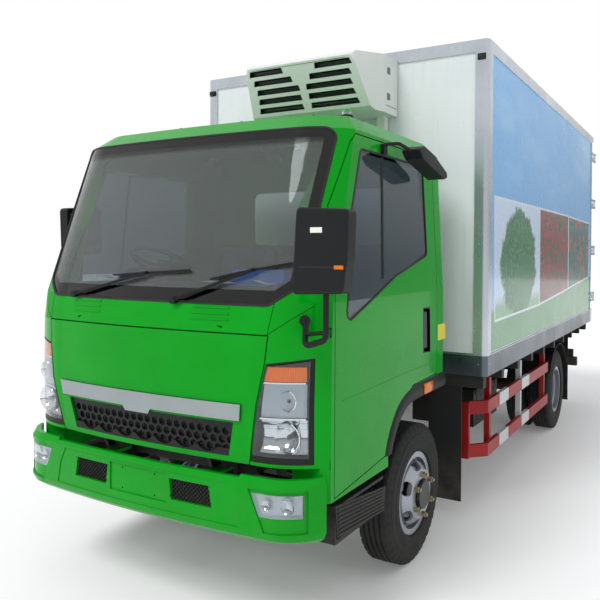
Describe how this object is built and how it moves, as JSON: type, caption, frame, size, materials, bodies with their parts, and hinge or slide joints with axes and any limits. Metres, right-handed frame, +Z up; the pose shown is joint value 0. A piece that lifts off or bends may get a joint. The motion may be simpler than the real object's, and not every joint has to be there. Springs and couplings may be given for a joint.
{
  "type": "refrigerated truck",
  "caption": "Light forward-control truck with an insulated refrigerated box body, front cooling unit, tilting cab and double rear doors.",
  "frame": {"origin": "centre of the bounding box in plan, at the ground under the tyres", "axes": "+Z up, the front of the cab faces -Y, the vehicle's left side is +X"},
  "size_m": [2.328, 6.035, 3.091],
  "materials": {
    "cab_green": "gloss",
    "chassis_black": "satin",
    "castings": "matte",
    "tyre": "matte",
    "wheel_silver": "satin",
    "black_plastic": "matte",
    "bumper_paint": "gloss",
    "panel_white": "gloss",
    "panel_blue": "gloss",
    "trim_aluminium": "polished",
    "skirt_steel": "satin",
    "guard_red": "gloss",
    "lens_amber": "clear",
    "lens_red": "clear",
    "lens_clear": "clear",
    "cab_window": "clear",
    "chrome": "polished",
    "interior_grey": "matte",
    "seat_cloth": "matte",
    "rubber": "matte",
    "tank_steel": "satin"
  },
  "bodies": {
    "chassis": {"frame_rails": "chassis_black", "cross_members": "chassis_black", "front_axle_beam": "castings", "rear_axle": "castings", "front_springs": "chassis_black", "rear_springs": "chassis_black", "engine": "castings", "prop_shaft": "chassis_black", "fuel_tank": "tank_steel", "battery_box": "black_plastic", "side_guard_left": "guard_red", "side_guard_right": "guard_red", "rear_guard": "guard_red", "tail_lamps": "lens_red", "rear_mudguards": "black_plastic", "front_mudflaps": "rubber", "front_bumper": "bumper_paint", "fog_lamps": "lens_clear", "steps": "black_plastic", "box_subframe": "chassis_black", "box_floor": "skirt_steel", "box_wall_left": "panel_blue", "box_wall_right": "panel_blue", "box_front_wall": "panel_white", "box_roof": "panel_white", "box_trim": "trim_aluminium", "rear_frame": "trim_aluminium", "cooling_unit": "panel_white", "marker_lamps": "lens_amber"},
    "cab": {"cab_shell": "cab_green", "cab_glass": "cab_window", "headlamps": "lens_clear", "mirror_left": "black_plastic", "dashboard": "interior_grey", "steering_wheel": "black_plastic", "seats": "seat_cloth", "wipers": "black_plastic", "arch_trim": "black_plastic"},
    "front_flap": {"front_flap": "cab_green", "grille": "black_plastic", "front_strip": "chrome"},
    "door_left": {"door_left": "cab_green", "door_glass_left": "cab_window", "kerb_mirror": "black_plastic"},
    "door_right": {"door_right": "cab_green", "door_glass_right": "cab_window", "mirror_right": "black_plastic"},
    "rear_door_left": {"rear_door_left": "panel_white"},
    "rear_door_right": {"rear_door_right": "panel_white"},
    "knuckle_left": {"knuckle_left": "castings"},
    "knuckle_right": {"knuckle_right": "castings"},
    "tie_rod": {"tie_rod": "castings"},
    "front_wheel_left": {"front_rim_left": "wheel_silver", "front_tyre_left": "tyre"},
    "front_wheel_right": {"front_rim_right": "wheel_silver", "front_tyre_right": "tyre"},
    "rear_wheel_left": {"rear_rims_left": "wheel_silver", "rear_tyres_left": "tyre"},
    "rear_wheel_right": {"rear_rims_right": "wheel_silver", "rear_tyres_right": "tyre"}
  },
  "joints": [
    {"name": "cab_tilt", "type": "hinge", "parent": "chassis", "child": "cab", "pos_m": [0, -2.86, 0.82], "axis": [1, 0, 0], "range_deg": [0, 45]},
    {"name": "front_flap_lift", "type": "hinge", "parent": "cab", "child": "front_flap", "pos_m": [0, -2.955, 1.386], "axis": [-1, 0, 0], "range_deg": [0, 60]},
    {"name": "tie_rod_pivot", "type": "hinge", "parent": "knuckle_left", "child": "tie_rod", "pos_m": [0.7, -1.6575, 0.293], "axis": [0, 0, 1], "range_deg": [-35, 35]},
    {"name": "door_left_hinge", "type": "hinge", "parent": "cab", "child": "door_left", "pos_m": [0.928, -2.777, 1.09], "axis": [0, 0, -1], "range_deg": [0, 70]},
    {"name": "rear_door_left_hinge", "type": "hinge", "parent": "chassis", "child": "rear_door_left", "pos_m": [1.154, 3.0075, 2.04], "axis": [0, 0, -1], "range_deg": [0, 270]},
    {"name": "steer_left", "type": "hinge", "parent": "chassis", "child": "knuckle_left", "pos_m": [0.7, -1.8475, 0.385], "axis": [0, 0, 1], "range_deg": [-35, 35]},
    {"name": "front_wheel_left_spin", "type": "hinge", "parent": "knuckle_left", "child": "front_wheel_left", "pos_m": [0.856, -1.8475, 0.385], "axis": [1, 0, 0], "continuous": true},
    {"name": "rear_wheel_left_spin", "type": "hinge", "parent": "chassis", "child": "rear_wheel_left", "pos_m": [0.947, 1.5125, 0.385], "axis": [1, 0, 0], "continuous": true},
    {"name": "door_right_hinge", "type": "hinge", "parent": "cab", "child": "door_right", "pos_m": [-0.928, -2.777, 1.09], "axis": [0, 0, 1], "range_deg": [0, 70]},
    {"name": "rear_door_right_hinge", "type": "hinge", "parent": "chassis", "child": "rear_door_right", "pos_m": [-1.154, 3.0075, 2.04], "axis": [0, 0, 1], "range_deg": [0, 270]},
    {"name": "steer_right", "type": "hinge", "parent": "chassis", "child": "knuckle_right", "pos_m": [-0.7, -1.8475, 0.385], "axis": [0, 0, 1], "range_deg": [-35, 35]},
    {"name": "front_wheel_right_spin", "type": "hinge", "parent": "knuckle_right", "child": "front_wheel_right", "pos_m": [-0.856, -1.8475, 0.385], "axis": [1, 0, 0], "continuous": true},
    {"name": "rear_wheel_right_spin", "type": "hinge", "parent": "chassis", "child": "rear_wheel_right", "pos_m": [-0.947, 1.5125, 0.385], "axis": [1, 0, 0], "continuous": true}
  ],
  "couplings": [
    {"joint": "steer_right", "follows": "steer_left", "ratio": 1},
    {"joint": "tie_rod_pivot", "follows": "steer_left", "ratio": -1}
  ]
}
